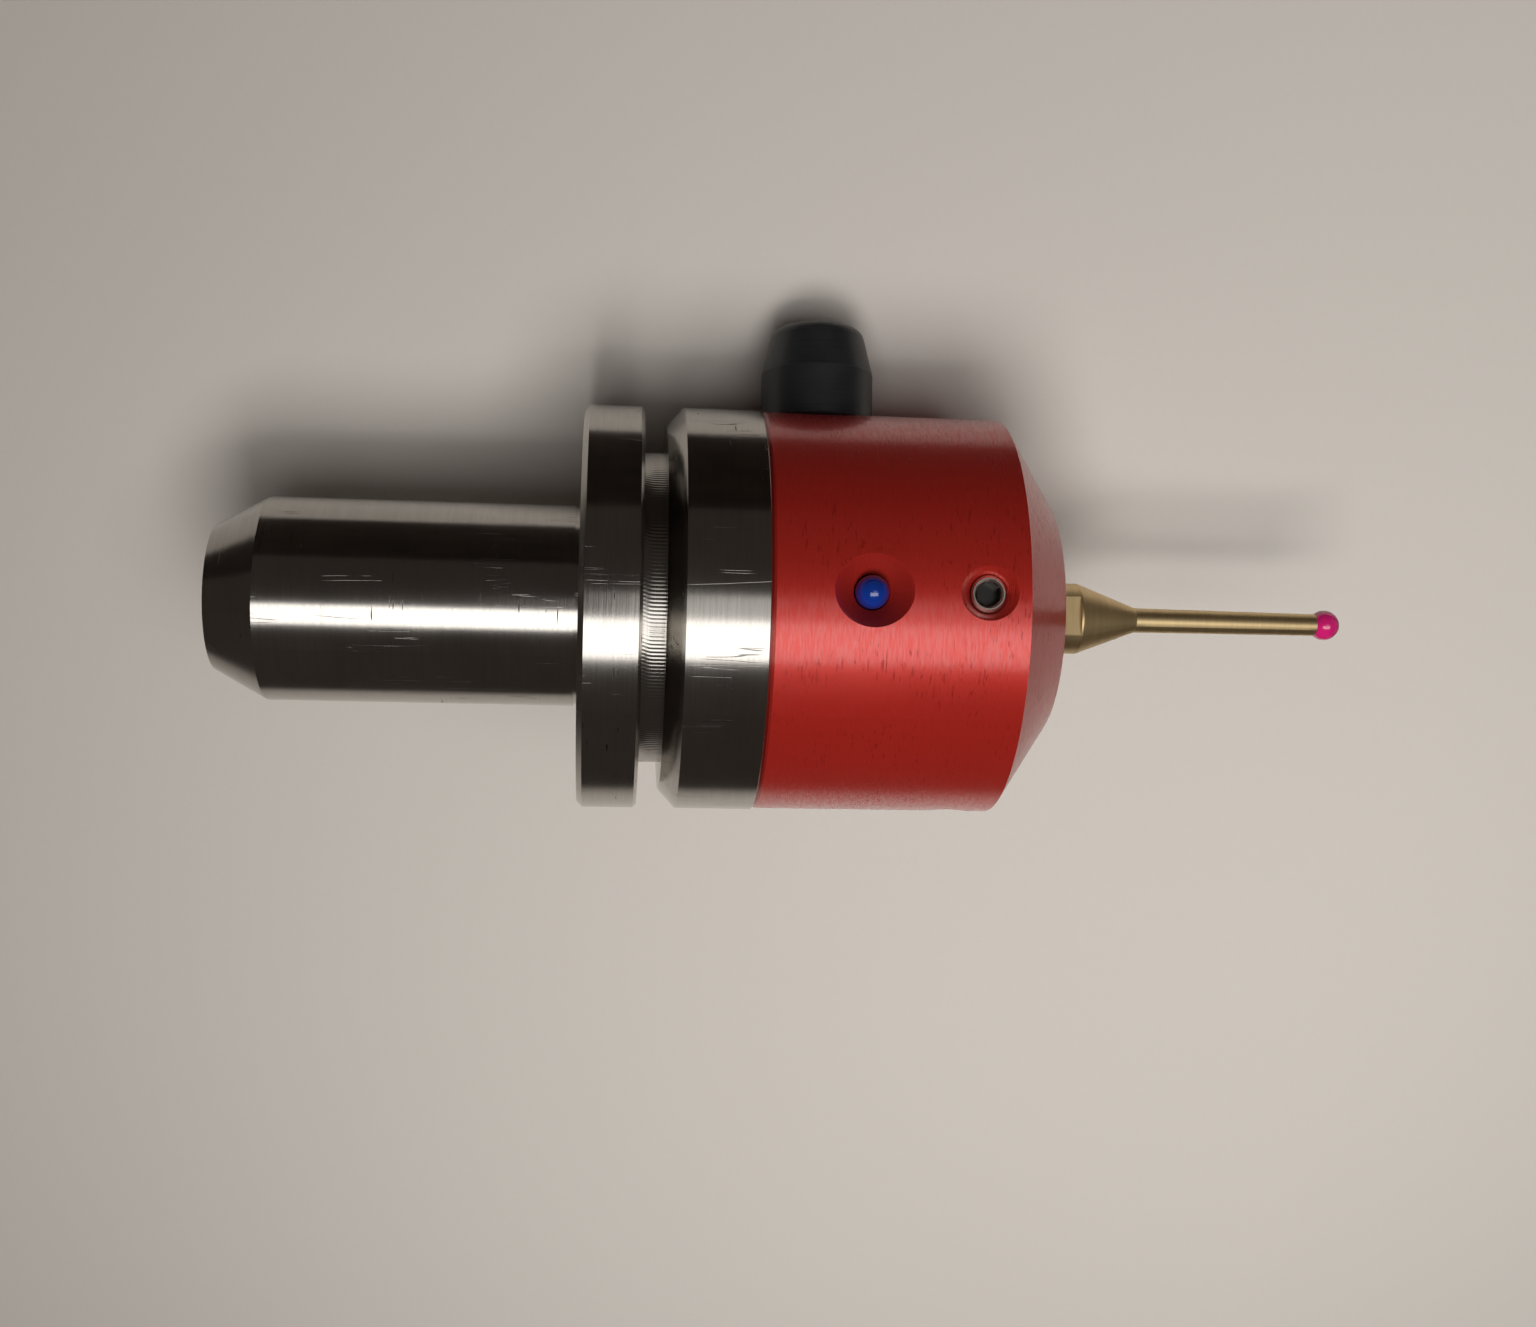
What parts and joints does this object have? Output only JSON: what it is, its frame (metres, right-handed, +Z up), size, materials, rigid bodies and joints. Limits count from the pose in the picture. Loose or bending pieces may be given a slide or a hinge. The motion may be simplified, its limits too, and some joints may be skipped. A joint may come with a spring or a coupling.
{
  "type": "edge finder",
  "caption": "Touch-trigger edge finder: straight steel shank with a grooved flange, red nose housing, indicator light, side jack boss and a ruby-tipped brass stylus on a sprung ball seat.",
  "frame": {"origin": "centre of the shank's flat end face, on the probe's axis", "axes": "+X runs along the probe's axis from the shank to the ball; +Z is up with the probe lying on its flanges and on the edge of its jack boss, which points to +Y and down"},
  "size_m": [0.1086, 0.0439, 0.0381],
  "materials": {
    "bright_steel": "fine turned stainless steel",
    "red_anodised": "satin red anodised aluminium",
    "black_rubber": "black nitrile rubber",
    "screw_steel": "plain steel",
    "cream_plastic": "natural acetal",
    "blue_lens": "tinted clear resin",
    "black_plastic": "turned black acetal",
    "nickel": "nickel plate",
    "brass": "turned brass",
    "board_green": "solder mask",
    "resistor_body": "lacquered body",
    "lead_red": "insulated wire",
    "spring_steel": "spring wire",
    "ruby": "polished synthetic ruby"
  },
  "bodies": {
    "probe_body": {"shank_holder": "bright_steel", "nose_housing": "red_anodised", "sealing_ring": "black_rubber", "centring_screws": "screw_steel", "seat_ring": "cream_plastic", "seat_balls": "screw_steel", "indicator_led": "blue_lens", "connector_boss": "black_plastic", "jack_socket": "nickel", "jack_lugs": "nickel", "jack_nut": "brass", "circuit_board": "board_green", "board_pillars": "brass", "board_screws": "screw_steel", "series_resistor": "resistor_body", "jack_leads": "lead_red", "seat_leads": "lead_red", "preload_screw": "screw_steel", "preload_spring": "spring_steel"},
    "spring_end": {"spring_cup": "screw_steel"},
    "thrust_end": {"thrust_ball": "screw_steel"},
    "stylus_set": {"stylus_hub": "screw_steel", "contact_rods": "screw_steel", "stylus": "brass", "ruby_ball": "ruby"}
  },
  "joints": [
    {"name": "rod_a_lift", "type": "hinge", "parent": "probe_body", "child": "spring_end", "pos_m": [0.06551, -0.0039, 0.00271], "axis": [0, 0.5697, 0.8218], "range_deg": [0, 5], "stiffness_Nm_per_rad": 0.01, "springref_deg": -11.46, "deforming": ["preload_spring"]},
    {"name": "rod_b_lift", "type": "hinge", "parent": "spring_end", "child": "thrust_end", "pos_m": [0.06551, -0.00039, -0.00473], "axis": [0, -0.9966, 0.0825], "range_deg": [0, 5], "stiffness_Nm_per_rad": 0.01, "springref_deg": -11.46},
    {"name": "rod_c_lift", "type": "hinge", "parent": "thrust_end", "child": "stylus_set", "pos_m": [0.06551, 0.0043, 0.00203], "axis": [0, 0.4269, -0.9043], "range_deg": [0, 5], "stiffness_Nm_per_rad": 0.01, "springref_deg": -11.46}
  ]
}
